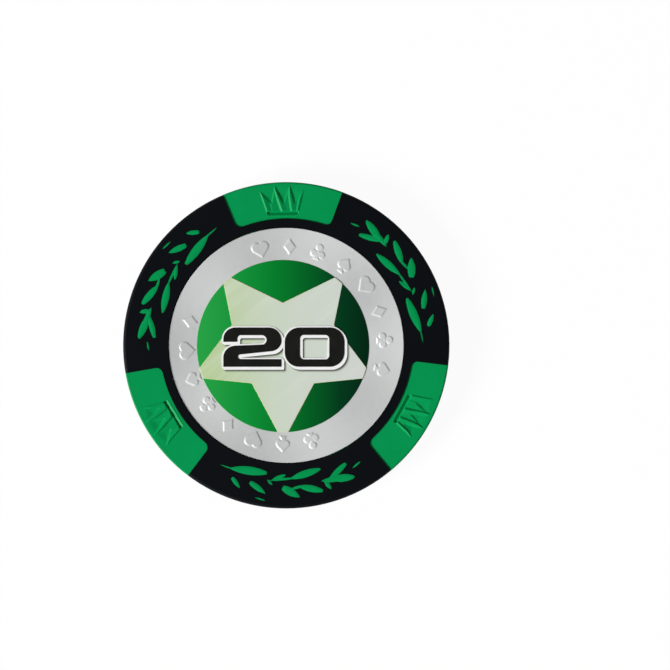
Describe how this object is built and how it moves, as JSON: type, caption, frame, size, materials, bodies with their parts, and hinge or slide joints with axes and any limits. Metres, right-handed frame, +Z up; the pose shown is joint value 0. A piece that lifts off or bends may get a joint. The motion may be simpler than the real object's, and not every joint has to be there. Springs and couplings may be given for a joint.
{
  "type": "poker chip",
  "caption": "Round two-colour moulded poker chip with edge spots, a laurel border and a silver label with a star and numerals on each face.",
  "frame": {"origin": "middle of the back face, on the plane that the chip lies on", "axes": "+Z up through the thickness, out of the front face; +Y towards the middle of the first edge spot"},
  "size_m": [0.04, 0.04, 0.0033],
  "materials": {
    "steel": "punched and tumbled",
    "green_composite": "satin, as moulded",
    "black_composite": "satin, as moulded",
    "adhesive": "clear film",
    "silver_foil": "satin silver, embossed",
    "green_ink": "satin ink",
    "cream_ink": "satin ink",
    "white_ink": "satin ink",
    "black_ink": "satin ink"
  },
  "bodies": {
    "root": {"steel_slug": "steel", "core_moulding": "green_composite", "body_moulding": "black_composite", "front_adhesive": "adhesive", "front_foil": "silver_foil", "front_field": "green_ink", "front_star": "cream_ink", "front_numeral_rim": "white_ink", "front_numerals": "black_ink", "back_adhesive": "adhesive", "back_foil": "silver_foil", "back_field": "green_ink", "back_star": "cream_ink", "back_numeral_rim": "white_ink", "back_numerals": "black_ink"}
  },
  "joints": []
}
